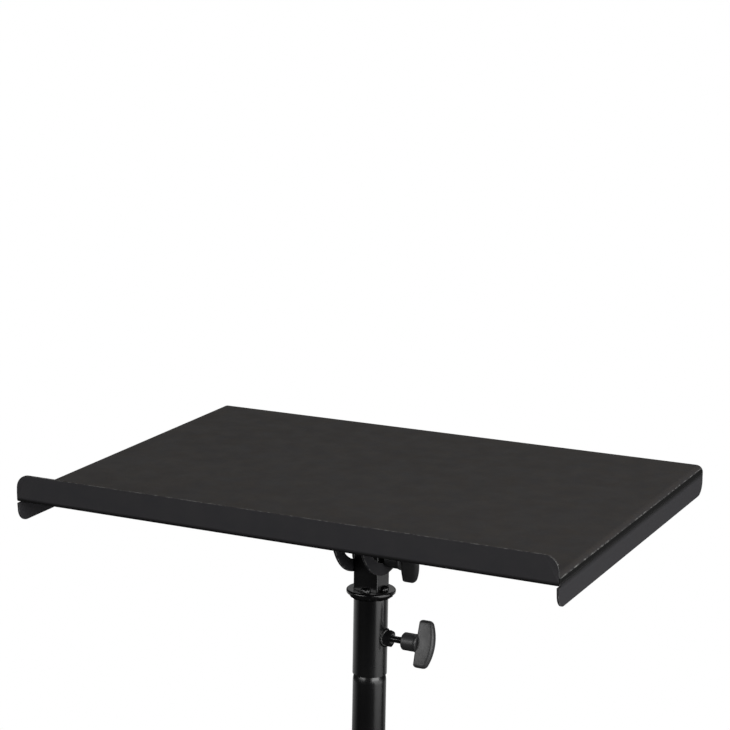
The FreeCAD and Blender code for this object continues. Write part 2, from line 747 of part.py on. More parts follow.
def make_leg(side, azimuth):
    spin = placed(axis=z_axis, turn=azimuth)
    along_leg = placed(x="Sizes.leg_pivot_radius", z="Sizes.leg_pivot_height",
                       axis=y_axis, turn=f"180 deg - {leg_lean}")
    on_leg = f"{spin} * {along_leg}"

    leg = new_body(f"leg_{side}", on_leg)
    ring = sketch_on(leg, "XY_Plane", "-Sizes.leg_head")
    circle(ring, "Sizes.leg_diameter / 2")
    circle(ring, "Sizes.leg_diameter / 2 - Sizes.leg_wall")
    pad(leg, ring, f"Sizes.leg_head + {leg_reach}")
    holes = sketch_on(leg, "XZ_Plane")
    circle(holes, pin_radius)
    circle(holes, pin_radius, "0", "Sizes.brace_at")
    cut_through(leg, holes)

    foot = new_body(f"foot_{side}", on_leg)
    foot_top = f"({leg_reach} - Sizes.foot_grip)"
    past_floor = f"(Sizes.leg_pivot_height / cos({leg_lean}) + Sizes.foot_diameter)"
    boot = sketch_on(foot, "XY_Plane", foot_top)
    circle(boot, "Sizes.foot_diameter / 2")
    pad(foot, boot, f"{past_floor} - {foot_top}")
    rounded(foot, "Sizes.foot_edge", lambda edge: edge_middle(edge).z < number(foot_top) + close
            and edge.Curve.TypeId == "Part::GeomCircle")
    grip = sketch_on(foot, "XY_Plane", leg_reach)
    circle(grip, "Sizes.leg_diameter / 2")
    feature = foot.newObject("PartDesign::Pocket", f"{foot.Name}_grip")
    feature.Profile = grip
    feature.Type = "ThroughAll"
    doc.recompute()
    # everything under the floor comes off, which leaves a flat sole
    sole = sketch_on(foot, "XZ_Plane")
    side_reach = "Sizes.foot_diameter"
    front = f"(Sizes.leg_pivot_height - {side_reach} * sin({leg_lean})) / cos({leg_lean})"
    rear = f"(Sizes.leg_pivot_height + {side_reach} * sin({leg_lean})) / cos({leg_lean})"
    beyond = f"{past_floor} + 4 * {side_reach}"
    outline(sole, [(f"-{side_reach}", rear), (side_reach, front), (side_reach, beyond),
                   (f"-{side_reach}", beyond)])
    cut_through(foot, sole)

    make_pin(f"leg_pin_{side}", on_leg, lug_outside)
    at_brace = f"{on_leg} * {placed(z='Sizes.brace_at')}"
    make_pin(f"brace_pin_{side}", at_brace, brace_outside)
    at_hub = f"{spin} * {placed(x='Sizes.hub_pivot_radius', z='Sizes.hub_pivot_height')}"
    make_pin(f"hub_pin_{side}", at_hub, brace_outside)
    make_braces(side, at_hub)


def make_pin(label, place, half_length):
    pin = doc.addObject("Part::Cylinder", label)
    pin.Label = label
    pin.setExpression("Radius", pin_radius)
    pin.setExpression("Height", f"2 * {half_length}")
    lying = placed(y=half_length, axis=x_axis, turn="90")
    pin.setExpression("Placement", f"{place} * {lying}")
    pieces.append(pin)


def make_braces(side, at_hub):
    run = f"(Sizes.leg_pivot_radius + Sizes.brace_at * sin({leg_lean}) - Sizes.hub_pivot_radius)"
    rise = f"(Sizes.leg_pivot_height - Sizes.brace_at * cos({leg_lean}) - Sizes.hub_pivot_height)"
    length = f"sqrt(pow({run}; 2) + pow({rise}; 2))"
    tilted = placed(axis=y_axis, turn=f"-atan2({rise}; {run})")
    edge = "Sizes.brace_width / 2"
    for hand, offset in (("a", f"-{brace_outside}"), ("b", brace_inside)):
        strip = new_body(f"brace_{side}_{hand}", f"{at_hub} * {tilted}")
        flat = sketch_on(strip, "XZ_Plane", offset)
        rectangle(flat, f"-{edge}", f"{length} + {edge}", f"-{edge}", edge)
        circle(flat, pin_radius)
        circle(flat, pin_radius, length, "0")
        pad(strip, flat, "Sizes.brace_gauge")
        rounded(strip, "Sizes.brace_corner", lambda side: runs_along(side, along_y))


make_tray()
make_bracket()
make_head_block()
make_head_ring()
make_head_socket()
make_weld_nut()
make_bolts()

knob_nose = f"({ear_outside} + Sizes.face_gap)"
make_knob("tilt_knob", knob_place(clamp_height, knob_nose, "0", "Sizes.tilt_knob_turn"),
          f"({bolt_radius} + Sizes.running_gap)")
socket_nose = "(Sizes.socket_diameter / 2 + Sizes.nut_height + Sizes.stud_showing)"
make_knob("socket_knob", knob_place(socket_knob_height, socket_nose, "0", "Sizes.socket_knob_turn"),
          stud_radius)
make_stud("socket_stud", socket_knob_height, "0", f"({spigot_radius} + Sizes.face_gap)", socket_nose)

make_upper_mast()
make_ring_piece("mast_bushing", f"({lower_bore} - Sizes.running_gap)", mast_radius,
                "Sizes.bushing_length", "Sizes.upper_mast_foot")
make_ring_piece("lower_mast", "Sizes.lower_mast_diameter / 2", lower_bore,
                "Sizes.lower_mast_top - Sizes.lower_mast_foot", "Sizes.lower_mast_foot")
make_mast_plug()
make_height_collar()
lower_nose = "(Sizes.boss_reach + Sizes.stud_showing)"
height_knob_height = "(Sizes.lower_mast_top + Sizes.collar_nose / 2)"
make_knob("height_knob", knob_place(height_knob_height, lower_nose, "0", "Sizes.lower_knob_turn"),
          stud_radius)
make_stud("height_stud", height_knob_height, "0", f"({mast_radius} + Sizes.face_gap)", lower_nose)

make_leg_collar()
make_knob("leg_knob", knob_place("Sizes.leg_pivot_height", lower_nose, "-90", "Sizes.lower_knob_turn"),
          stud_radius)
make_stud("leg_stud", "Sizes.leg_pivot_height", "-90",
          "(Sizes.lower_mast_diameter / 2 + Sizes.face_gap)", lower_nose)
make_brace_hub()
for place, leg_side in enumerate(leg_sides):
    make_leg(leg_side, f"90 deg + {place} * 360 deg / {leg_count}")

# Check every object, then write each piece

doc.recompute()
for thing in doc.Objects:
    if "Invalid" in thing.State or "Error" in thing.State:
        raise RuntimeError(f"{thing.Label} did not build: {thing.State}")
os.makedirs("parts", exist_ok=True)
for piece in pieces:
    shape = piece.Shape
    if shape.isNull() or not shape.isValid() or len(shape.Solids) != 1:
        raise RuntimeError(f"{piece.Label} is not one valid solid")
for piece in pieces:
    piece.Shape.exportStep(f"parts/{piece.Label}.step")
    print(piece.Label, round(piece.Shape.Volume / 1000, 2), "cm3")
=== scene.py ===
import json
import math

import bmesh
import bpy
from mathutils import Matrix, Vector


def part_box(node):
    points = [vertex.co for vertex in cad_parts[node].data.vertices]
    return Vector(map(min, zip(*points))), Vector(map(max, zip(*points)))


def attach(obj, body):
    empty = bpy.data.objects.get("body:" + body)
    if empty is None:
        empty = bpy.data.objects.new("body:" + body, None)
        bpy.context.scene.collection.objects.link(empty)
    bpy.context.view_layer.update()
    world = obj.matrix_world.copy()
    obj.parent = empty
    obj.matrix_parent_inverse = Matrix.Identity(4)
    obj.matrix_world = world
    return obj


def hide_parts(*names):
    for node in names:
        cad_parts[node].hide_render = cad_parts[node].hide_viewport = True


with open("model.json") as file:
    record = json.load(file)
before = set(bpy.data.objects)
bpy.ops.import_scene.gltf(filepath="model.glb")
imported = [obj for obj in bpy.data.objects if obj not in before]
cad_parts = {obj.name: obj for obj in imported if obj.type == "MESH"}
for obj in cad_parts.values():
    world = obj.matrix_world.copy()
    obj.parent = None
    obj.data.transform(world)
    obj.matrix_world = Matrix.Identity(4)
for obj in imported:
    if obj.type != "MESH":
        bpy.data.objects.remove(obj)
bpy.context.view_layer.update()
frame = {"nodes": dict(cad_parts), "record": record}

scene = bpy.context.scene
scene.view_settings.view_transform = "Standard"
mm = 0.001
print("frame loaded:", len(frame["nodes"]), "nodes")


# camera at the photo's viewing angle

cameraRig = {
    "place": (0.651657, -1.298494, 1.168092),
    "pan": 26.9349, "dip": 10.8041, "roll": 0.9821,
    "lens": 102.799, "sensor": 36.0,
}


def makeCamera(rig):
    data = bpy.data.cameras.new("standCamera")
    data.lens = rig["lens"]
    data.sensor_width = rig["sensor"]
    data.dof.use_dof = False
    camera = bpy.data.objects.new("standCamera", data)
    scene.collection.objects.link(camera)
    turn = (Matrix.Rotation(math.radians(rig["pan"]), 4, "Z")
            @ Matrix.Rotation(math.radians(90 - rig["dip"]), 4, "X")
            @ Matrix.Rotation(math.radians(rig["roll"]), 4, "Z"))
    camera.matrix_world = Matrix.Translation(rig["place"]) @ turn
    scene.camera = camera


makeCamera(cameraRig)


# node helpers for shaders and geometry trees

def feed(tree, value, socket):
    # a socket is linked, anything else becomes the input's own value
    if isinstance(value, bpy.types.NodeSocket):
        tree.links.new(value, socket)
    elif socket.type == "RGBA":
        socket.default_value = (*value, 1)
    else:
        socket.default_value = value


def put(tree, kind, values=None, **settings):
    made = tree.nodes.new(kind)
    for key, value in settings.items():
        setattr(made, key, value)
    for key, value in (values or {}).items():
        feed(tree, value, made.inputs[key])
    return made


def calc(tree, operation, *values):
    return put(tree, "ShaderNodeMath", dict(enumerate(values)), operation=operation).outputs[0]


def ramp(tree, value, start=(0.0, 1.0), end=(0.0, 1.0), kind="LINEAR"):
    limits = dict(zip(("From Min", "From Max", "To Min", "To Max"), (*start, *end)))
    made = put(tree, "ShaderNodeMapRange", dict(limits, Value=value), interpolation_type=kind)
    return made.outputs["Result"]


def parts(tree, vector):
    return put(tree, "ShaderNodeSeparateXYZ", {0: vector}).outputs


def noise(tree, where, scale, detail, roughness=0.5):
    return put(tree, "ShaderNodeTexNoise", {
        "Vector": where, "Scale": scale, "Detail": detail, "Roughness": roughness}).outputs["Fac"]


def mix(tree, kind, under, over, mask):
    made = put(tree, "ShaderNodeMix", {"A": under, "B": over, "Factor": mask}, data_type=kind)
    return made.outputs["Result"]


def layer(tree, under, over, mask):
    return mix(tree, "RGBA", under, over, mask)


def blend(tree, under, over, mask):
    return mix(tree, "FLOAT", under, over, mask)


# studio: white to the camera, soft boxes on the object

studio = {
    # each level with the range over which it fades in or out
    "fill": (0.04, 0.15), "fillFade": (-0.35, 0.7),
    "backdrop": (0.03, 1.0), "backdropFade": (-0.05, 0.66), "backdropWay": (-0.60, 0.80, 0.0),
    "table": (1.0, 0.06), "tableFade": (-0.29, -0.24),
    "tableFoot": (0.25, 1.0), "tableFootFade": (-0.37, -0.30),
    "wall": (0.0, 0.58), "wallFade": (0.21, 0.31),
    "boxes": {
        # name: place, aim, size, watts
        "rightBox": ((1.75, -0.60, 1.38), (0.0, 0.0, 0.72), (2.0, 1.5), 70.0),
        "rightCard": ((1.75, 0.05, 0.29), (0.0, 0.0, 0.70), (1.9, 0.5), 7.4),
        "leftBox": ((-1.08, -2.03, 1.42), (0.0, 0.0, 0.72), (1.8, 0.8), 34.0),
        "topBox": ((0.1, 0.5, 2.6), (0.0, 0.0, 0.8), (1.6, 1.6), 2.2),
    },
}


def seenDirectly(tree, path):
    return calc(tree, "MAXIMUM", path["Is Camera Ray"], path["Is Transmission Ray"])


def makeWorld(kit):
    world = bpy.data.worlds.new("whiteStudio")
    world.use_nodes = True
    scene.world = world
    tree = world.node_tree
    tree.nodes.clear()

    def fade(value, name):
        return ramp(tree, value, kit[name + "Fade"], kit[name], "SMOOTHSTEP")

    path = put(tree, "ShaderNodeLightPath").outputs
    way = put(tree, "ShaderNodeTexCoord").outputs["Generated"]
    rise = parts(tree, way)["Z"]
    toBack = put(tree, "ShaderNodeVectorMath", {
        0: way, 1: Vector(kit["backdropWay"]).normalized()}, operation="DOT_PRODUCT")
    # glossy coats mirror a white table and a dimmer wall behind the object, with a dark gap between
    table = calc(tree, "MULTIPLY", fade(rise, "table"), fade(rise, "tableFoot"))
    seen = calc(tree, "ADD", table, fade(rise, "wall"))
    mirror = calc(tree, "MULTIPLY", fade(toBack.outputs["Value"], "backdrop"), seen)
    level = blend(tree, fade(rise, "fill"), mirror, path["Is Glossy Ray"])
    strength = calc(tree, "MAXIMUM", seenDirectly(tree, path), level)
    glow = put(tree, "ShaderNodeBackground", {"Color": (1, 1, 1), "Strength": strength})
    put(tree, "ShaderNodeOutputWorld", {"Surface": glow.outputs[0]})


def makeBoxes(kit):
    for name, (place, aim, size, watts) in kit["boxes"].items():
        data = bpy.data.lights.new(name, "AREA")
        data.shape = "RECTANGLE"
        data.size, data.size_y = size
        data.energy = watts
        lamp = bpy.data.objects.new(name, data)
        lamp.location = place
        lamp.rotation_mode = "QUATERNION"
        lamp.rotation_quaternion = (Vector(aim) - Vector(place)).to_track_quat("-Z", "Y")
        scene.collection.objects.link(lamp)


paleFloor = {
    "radius": 1.6, "sides": 96, "sink": 0.0002, "fade": (0.45, 1.3),
    "grain": 9.0, "grainDetail": 4.0,
    "colour": (0.86, 0.86, 0.855), "clouded": (0.89, 0.89, 0.89), "bounce": (0.05, 0.05, 0.05),
}


def makeFloor(kit):
    mesh = bpy.data.meshes.new("paleFloor")
    work = bmesh.new()
    bmesh.ops.create_circle(work, cap_ends=True, radius=kit["radius"], segments=kit["sides"])
    work.to_mesh(mesh)
    work.free()
    floor = bpy.data.objects.new("paleFloor", mesh)
    scene.collection.objects.link(floor)
    floor.location.z = -kit["sink"]
    material = bpy.data.materials.new("paleFloor")
    material.use_nodes = True
    tree = material.node_tree
    tree.nodes.clear()
    direct = seenDirectly(tree, put(tree, "ShaderNodeLightPath").outputs)
    where = put(tree, "ShaderNodeTexCoord").outputs["Object"]
    grain = noise(tree, where, kit["grain"], kit["grainDetail"])
    tone = layer(tree, kit["colour"], kit["clouded"], grain)
    # pale to the camera, while the object gets only a weak bounce
    chalk = put(tree, "ShaderNodeBsdfDiffuse", {"Color": layer(tree, kit["bounce"], tone, direct)})
    away = put(tree, "ShaderNodeVectorMath", {0: where}, operation="LENGTH").outputs["Value"]
    share = calc(tree, "MULTIPLY", ramp(tree, away, kit["fade"], kind="SMOOTHSTEP"), direct)
    white = put(tree, "ShaderNodeEmission", {"Color": (1, 1, 1), "Strength": 1.0})
    both = put(tree, "ShaderNodeMixShader", {
        "Fac": share, 1: chalk.outputs[0], 2: white.outputs[0]})
    put(tree, "ShaderNodeOutputMaterial", {"Surface": both.outputs[0]})
    mesh.materials.append(material)


makeWorld(studio)
makeBoxes(studio)
makeFloor(paleFloor)
print("studio ready")


# shader groups shared by the finishes

def newGroup(name, inputs, outputs):
    tree = bpy.data.node_groups.new(name, "ShaderNodeTree")
    for label, value in inputs.items():
        socket = tree.interface.new_socket(label, in_out="INPUT", socket_type="NodeSocketFloat")
        socket.default_value = value
    for label in outputs:
        tree.interface.new_socket(label, in_out="OUTPUT", socket_type="NodeSocketFloat")
    return tree, put(tree, "NodeGroupInput").outputs


def attribute(tree, name):
    return put(tree, "ShaderNodeAttribute", attribute_name=name).outputs["Fac"]


def coatGrainGroup():
    # fine sprayed texture, a slow orange peel and cloudy mottling
    tree, given = newGroup(
        "coatGrain", {"Grain": 1500.0, "Peel": 320.0, "Cloud": 28.0, "Peel share": 0.5},
        ["Height", "Tone"])
    details, roughness, cloudSpread = {"Grain": 2.0, "Peel": 1.0, "Cloud": 5.0}, 0.55, (0.36, 0.66)
    where = put(tree, "ShaderNodeTexCoord").outputs["Object"]
    made = {label: noise(tree, where, given[label], detail, roughness)
            for label, detail in details.items()}
    put(tree, "NodeGroupOutput", {
        "Height": blend(tree, made["Grain"], made["Peel"], given["Peel share"]),
        "Tone": ramp(tree, made["Cloud"], cloudSpread)})
    return tree


def mouldGrainGroup():
    # spark-eroded mould texture with slight tone changes
    tree, given = newGroup("mouldGrain", {"Pits": 1700.0, "Flow": 60.0}, ["Height", "Tone"])
    flowDetail, flowSpread = 4.0, (0.35, 0.65)
    where = put(tree, "ShaderNodeTexCoord").outputs["Object"]
    pits = put(tree, "ShaderNodeTexVoronoi", {
        "Vector": where, "Scale": given["Pits"], "Randomness": 1.0}, feature="SMOOTH_F1")
    flow = noise(tree, where, given["Flow"], flowDetail)
    put(tree, "NodeGroupOutput", {
        "Height": pits.outputs["Distance"], "Tone": ramp(tree, flow, flowSpread)})
    return tree


def edgeWearAndHighlightGroup():
    # a lighter colour along the rounded edges, broken up by noise: partly wear, partly a painted
    # edge highlight
    tree, given = newGroup("edgeRub", {"Amount": 0.6, "Patch": 90.0}, ["Mask"])
    detail, roughness, patchSpread = 6.0, 0.7, (0.46, 0.60)
    where = put(tree, "ShaderNodeTexCoord").outputs["Object"]
    patch = ramp(tree, noise(tree, where, given["Patch"], detail, roughness), patchSpread)
    rub = calc(tree, "MULTIPLY", attribute(tree, "edgeRub"), patch)
    put(tree, "NodeGroupOutput", {"Mask": calc(tree, "MULTIPLY", rub, given["Amount"])})
    return tree


def topDustGroup():
    # a thin film that settles on faces turned upwards
    tree, given = newGroup("topDust", {"Amount": 0.4, "Patch": 35.0, "Grit": 1800.0}, ["Mask"])
    spreads, detail, roughness = {"Patch": (0.33, 0.68), "Grit": (0.42, 0.64)}, 4.0, 0.62
    upwards, thinnest = (0.35, 0.95), 0.35
    where = put(tree, "ShaderNodeTexCoord").outputs
    film = ramp(tree, parts(tree, where["Normal"])["Z"], upwards)
    for label, spread in spreads.items():
        spots = noise(tree, where["Object"], given[label], detail, roughness)
        film = calc(tree, "MULTIPLY", film, ramp(tree, spots, spread, (thinnest, 1.0)))
    put(tree, "NodeGroupOutput", {"Mask": calc(tree, "MULTIPLY", film, given["Amount"])})
    return tree


groups = {
    "coatGrain": coatGrainGroup(),
    "mouldGrain": mouldGrainGroup(),
    "edgeRub": edgeWearAndHighlightGroup(),
    "topDust": topDustGroup(),
}


# finishes

def useGroup(tree, name, values):
    return put(tree, "ShaderNodeGroup", values, node_tree=groups[name]).outputs


def finishMaterial(kit):
    material = bpy.data.materials.new(kit["name"])
    material.use_nodes = True
    material.diffuse_color = (*kit["colour"], 1)
    tree = material.node_tree
    skin = useGroup(tree, *kit["skin"])
    colour = layer(tree, kit["colour"], kit["clouded"], skin["Tone"])
    rough = ramp(tree, skin["Tone"], end=kit["rough"])
    height = skin["Height"]
    if "dust" in kit:
        film = useGroup(tree, "topDust", kit["dust"])["Mask"]
        colour = layer(tree, colour, kit["dustColour"], film)
    if "fold" in kit:
        # painted shade: a darker colour on the outside of each fold and on the lip's lowest strip
        # stands in for the dark reflection there; the coat there is also smoother and its normals
        # lean
        foldShadeMask = attribute(tree, "foldCoat")
        colour = layer(tree, colour, kit["fold"]["colour"], foldShadeMask)
        rough = blend(tree, rough, kit["fold"]["rough"], foldShadeMask)
        lean = calc(tree, "MULTIPLY", foldShadeMask, kit["fold"]["lean"])
        height = calc(tree, "ADD", height, lean)
    # lighter colour along the edges: wear and a painted edge highlight
    rub = useGroup(tree, "edgeRub", kit["rub"])["Mask"]
    bump = put(tree, "ShaderNodeBump", {
        "Strength": kit["bump"], "Distance": kit["bumpDepth"], "Height": height})
    surface = {
        "Base Color": layer(tree, colour, kit["rubColour"], rub), "Roughness": rough,
        "Normal": bump.outputs["Normal"], "Specular IOR Level": kit["gloss"],
        "Metallic": kit["metal"],
    }
    for label, value in surface.items():
        feed(tree, value, tree.nodes["Principled BSDF"].inputs[label])
    return material


# the lighter edge colour in each finish is partly wear and partly a painted edge highlight
finishes = {
    "tray_coat": {
        "name": "trayPowder", "metal": 0.0, "gloss": 0.05, "rough": (0.50, 0.58),
        "colour": (0.0215, 0.0212, 0.0230), "clouded": (0.0235, 0.0228, 0.0242),
        "skin": ("coatGrain", {"Grain": 1500.0, "Peel": 420.0, "Cloud": 60.0, "Peel share": 0.35}),
        "bump": 0.16, "bumpDepth": 0.0003,
        "dust": {"Amount": 0.5, "Patch": 70.0, "Grit": 1500.0}, "dustColour": (0.044, 0.034, 0.022),
        "rub": {"Amount": 0.8, "Patch": 260.0}, "rubColour": (0.15, 0.15, 0.145),
        # painted shade: the darker colour of each fold's strip and the lip's foot
        "fold": {"colour": (0.007, 0.007, 0.007), "rough": 0.22, "lean": -8.75},
    },
    "tube_coat": {
        "name": "tubeGloss", "metal": 0.0, "gloss": 0.5, "rough": (0.23, 0.28),
        "colour": (0.0022, 0.0022, 0.0024), "clouded": (0.0032, 0.0032, 0.0034),
        "skin": ("coatGrain", {"Grain": 900.0, "Peel": 260.0, "Cloud": 18.0, "Peel share": 0.7}),
        "bump": 0.10, "bumpDepth": 0.0002,
        "rub": {"Amount": 0.25, "Patch": 110.0}, "rubColour": (0.10, 0.10, 0.10),
    },
    "black_fastener": {
        "name": "blackZinc", "metal": 0.0, "gloss": 0.6, "rough": (0.13, 0.20),
        "colour": (0.004, 0.004, 0.0045), "clouded": (0.007, 0.007, 0.0075),
        "skin": ("coatGrain", {"Grain": 2200.0, "Peel": 600.0, "Cloud": 150.0, "Peel share": 0.4}),
        "bump": 0.10, "bumpDepth": 0.0001,
        "rub": {"Amount": 0.6, "Patch": 260.0}, "rubColour": (0.20, 0.20, 0.20),
    },
    "pin_steel": {
        "name": "zincSteel", "metal": 1.0, "gloss": 0.5, "rough": (0.26, 0.42),
        "colour": (0.46, 0.46, 0.47), "clouded": (0.60, 0.60, 0.61),
        "skin": ("coatGrain", {"Grain": 1800.0, "Peel": 500.0, "Cloud": 220.0, "Peel share": 0.3}),
        "bump": 0.08, "bumpDepth": 0.0001,
        "rub": {"Amount": 0.5, "Patch": 240.0}, "rubColour": (0.72, 0.72, 0.72),
    },
    "knob_plastic": {
        "name": "knobMatt", "metal": 0.0, "gloss": 0.36, "rough": (0.38, 0.48),
        "colour": (0.017, 0.017, 0.0175), "clouded": (0.023, 0.023, 0.0235),
        "skin": ("mouldGrain", {"Pits": 1500.0, "Flow": 70.0}),
        "bump": 0.25, "bumpDepth": 0.0002,
        "rub": {"Amount": 0.35, "Patch": 160.0}, "rubColour": (0.06, 0.06, 0.06),
    },
    "collar_plastic": {
        "name": "collarSatin", "metal": 0.0, "gloss": 0.4, "rough": (0.42, 0.54),
        "colour": (0.017, 0.017, 0.0175), "clouded": (0.024, 0.024, 0.0245),
        "skin": ("mouldGrain", {"Pits": 1300.0, "Flow": 50.0}),
        "bump": 0.22, "bumpDepth": 0.0002,
        "rub": {"Amount": 0.35, "Patch": 120.0}, "rubColour": (0.07, 0.07, 0.07),
    },
    "foot_rubber": {
        "name": "footRubber", "metal": 0.0, "gloss": 0.25, "rough": (0.70, 0.85),
        "colour": (0.016, 0.016, 0.016), "clouded": (0.026, 0.025, 0.024),
        "skin": ("mouldGrain", {"Pits": 1100.0, "Flow": 45.0}),
        "bump": 0.35, "bumpDepth": 0.0003,
        "rub": {"Amount": 0.3, "Patch": 120.0}, "rubColour": (0.06, 0.058, 0.055),
    },
}
materials = {slot: finishMaterial(kit) for slot, kit in finishes.items()}
print("finishes ready:", len(materials))


# mesh helpers

def addPiece(name, mesh, body, slot, nodes=()):
    piece = bpy.data.objects.new(name, mesh)
    scene.collection.objects.link(piece)
    if not mesh.materials:
        mesh.materials.append(materials[slot])
    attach(piece, body)
    if nodes:
        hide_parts(*nodes)
    return piece


bodyOf = {node: body for body, nodes in frame["record"]["behaviour"]["bodies"].items()
          for node in nodes}
slotOf = {part["node"]: part["material_slot"] for part in frame["record"]["subparts"]}


def pieceName(node):
    words = node.split("_")
    return words[0] + "".join(word.capitalize() for word in words[1:])


def addNodePiece(node, mesh):
    return addPiece(pieceName(node), mesh, bodyOf[node], slotOf[node], [node])


def evenNormals(piece):
    # flat faces keep their own normal beside the rounded edges
    weigh = piece.modifiers.new("evenNormals", "WEIGHTED_NORMAL")
    weigh.weight = 100
    weigh.keep_sharp = True


def meshFrom(work, name, sharpAngle=42):
    for face in work.faces:
        face.smooth = True
    mesh = bpy.data.meshes.new(name)
    work.to_mesh(mesh)
    work.free()
    mesh.set_sharp_from_angle(angle=math.radians(sharpAngle))
    return mesh


def softPath(corners, steps=6):
    # corners as (across, along, rounding): each corner becomes a short smooth curve
    points = []
    last = len(corners) - 1
    for place, (across, along, rounding) in enumerate(corners):
        here = Vector((across, along))
        if rounding == 0 or place in (0, last):
            points.append(here)
            continue
        before = (Vector(corners[place - 1][:2]) - here).normalized() * rounding
        after = (Vector(corners[place + 1][:2]) - here).normalized() * rounding
        for step in range(steps + 1):
            share = step / steps
            points.append(here + before * (1 - share) ** 2 + after * share ** 2)
    return points


def turnProfile(work, points, steps=64, closed=False):
    # revolve (radius, height) points in mm round Z; a radius of nought is a pole
    ways = [(math.cos(math.tau * step / steps), math.sin(math.tau * step / steps))
            for step in range(steps)]
    rings = [[work.verts.new((radius * x * mm, radius * y * mm, height * mm))
              for x, y in (ways if radius > 0 else ways[:1])] for radius, height in points]
    pairs = list(zip(rings, rings[1:]))
    if closed:
        pairs.append((rings[-1], rings[0]))
    made = []
    for low, high in pairs:
        for step in range(steps):
            after = (step + 1) % steps
            corners = [low[step % len(low)], low[after % len(low)],
                       high[after % len(high)], high[step % len(high)]]
            made.append(work.faces.new(list(dict.fromkeys(corners))))
    bmesh.ops.recalc_face_normals(work, faces=made)


def alongX(x, z):
    # a piece drawn upright is laid on its side, pointing to +X
    return Matrix.Translation((x * mm, 0, z * mm)) @ Matrix.Rotation(math.pi / 2, 4, "Y")


# CAD nodes with eased edges

easing = {"merge": 0.002, "flatAngle": 0.4}


def easedCopy(node, edge, steps, sharpAngle, keep=None):
    work = bmesh.new()
    work.from_mesh(frame["nodes"][node].data)
    bmesh.ops.remove_doubles(work, verts=work.verts, dist=easing["merge"] * mm)
    bmesh.ops.dissolve_limit(
        work, angle_limit=math.radians(easing["flatAngle"]), verts=work.verts, edges=work.edges,
        use_dissolve_boundaries=False)
    sharp = [line for line in work.edges
             if len(line.link_faces) == 2
             and line.calc_face_angle(0.0) > math.radians(sharpAngle)
             and not (keep and keep(line))]
    made = bmesh.ops.bevel(
        work, geom=sharp, offset=edge * mm, offset_type="OFFSET", segments=steps, profile=0.5,
        affect="EDGES", clamp_overlap=False)
    mark = work.loops.layers.float.new("edgeRub")
    for face in made["faces"]:
        for corner in face.loops:
            corner[mark] = 1.0
    bmesh.ops.triangulate(work, faces=[face for face in work.faces if len(face.verts) > 4])
    return work


easedEdges = {
    # node start: edge in mm, steps, angle
    "tilt_bracket": (0.4, 3, 30), "head_block": (0.3, 3, 30), "head_ring": (0.2, 2, 40),
    "head_socket": (0.3, 3, 40), "lower_mast": (0.3, 3, 40), "mast_plug": (0.8, 3, 40),
    "mast_bushing": (0.4, 2, 40), "height_collar": (0.6, 3, 35), "leg_collar": (0.6, 3, 35),
    "brace_hub": (0.6, 3, 35), "leg_pin": (0.4, 3, 40), "brace_pin": (0.4, 3, 40),
    "hub_pin": (0.4, 3, 40), "leg": (0.25, 2, 40), "foot": (0.5, 3, 35), "brace": (0.4, 3, 35),
}
builtNodes = {
    "tray", "upper_mast", "pivot_bolt", "tilt_bolt", "pivot_nut", "weld_nut", "tilt_knob",
    "socket_knob", "height_knob", "leg_knob", "socket_stud", "height_stud", "leg_stud",
}
for node in sorted(set(frame["nodes"]) - builtNodes):
    start = max((name for name in easedEdges if node.startswith(name)), key=len)
    evenNormals(addNodePiece(node, meshFrom(easedCopy(node, *easedEdges[start]), node)))
print("eased pieces:", len(frame["nodes"]) - len(builtNodes))


# places in mm that several pieces of the head share

headPlaces = {"tiltAxis": 780.0, "clampBolt": 750.8, "socketStud": 691.0, "earFace": 12.4,
              "socketRadius": 12.6}


# tray: the folded sheet, with a lighter line along each side's fold, part wear and part painted
# highlight, and painted shade below it

traySheet = {
    "tilt": 2.65, "plateTop": 30.2, "front": -147.9, "halfWidth": 203.2, "bend": 5.0,
    "lipLow": 24.2, "lipFold": 1.5, "edge": (0.35, 3, 30),
    "notch": {"inward": 1.5, "back": 6.0, "below": 2.5, "above": 0.5},
    # the painted shade below each fold and on the lip's foot ends at the shade depths and the lip
    # shade height
    # tray edges get a share of the lighter edge colour (wear and painted highlight); the line at
    # each fold's middle angle gets all of it
    "rubbedEdge": 0.5, "rubbedAt": (46, 53, 60), "thinTo": (5.0, 8.2), "lipThin": 3.0,
    "near": 0.02, "foldMargin": 0.2, "lipMargin": 0.1, "merge": 0.001,
    # how far a face's normal leans
    "leanOut": 0.02, "leanDown": 0.02, "leanAlong": 0.1, "leanFront": 0.05,
}


def trayFrame(kit):
    # from the tray's own square frame to its place on the stand
    return (Matrix.Translation((0, 0, headPlaces["tiltAxis"] * mm))
            @ Matrix.Rotation(math.radians(kit["tilt"]), 4, "X"))


def inNotch(kit, square, edge):
    # the small gap between lip, plate and flange is too tight to round
    gap = kit["notch"]
    for vert in edge.verts:
        x, y, z = square @ vert.co / mm
        if (abs(x) > kit["halfWidth"] - kit["bend"] - gap["inward"]
                and y < kit["front"] + gap["back"]
                and kit["lipLow"] - gap["below"] < z < kit["plateTop"] + gap["above"]):
            return True
    return False


def foldFaces(kit, square, work):
    # outer faces of both side folds and of the flanges below them
    found = []
    for face in work.faces:
        lean = square.to_3x3() @ face.normal
        x = (square @ face.calc_center_median()).x / mm
        outwards = lean.x * x > 0 and abs(lean.x) > kit["leanOut"]
        if outwards and lean.z > -kit["leanDown"] and abs(lean.y) < kit["leanAlong"]:
            if abs(x) > kit["halfWidth"] - kit["bend"] - kit["foldMargin"]:
                found.append(face)
    return found


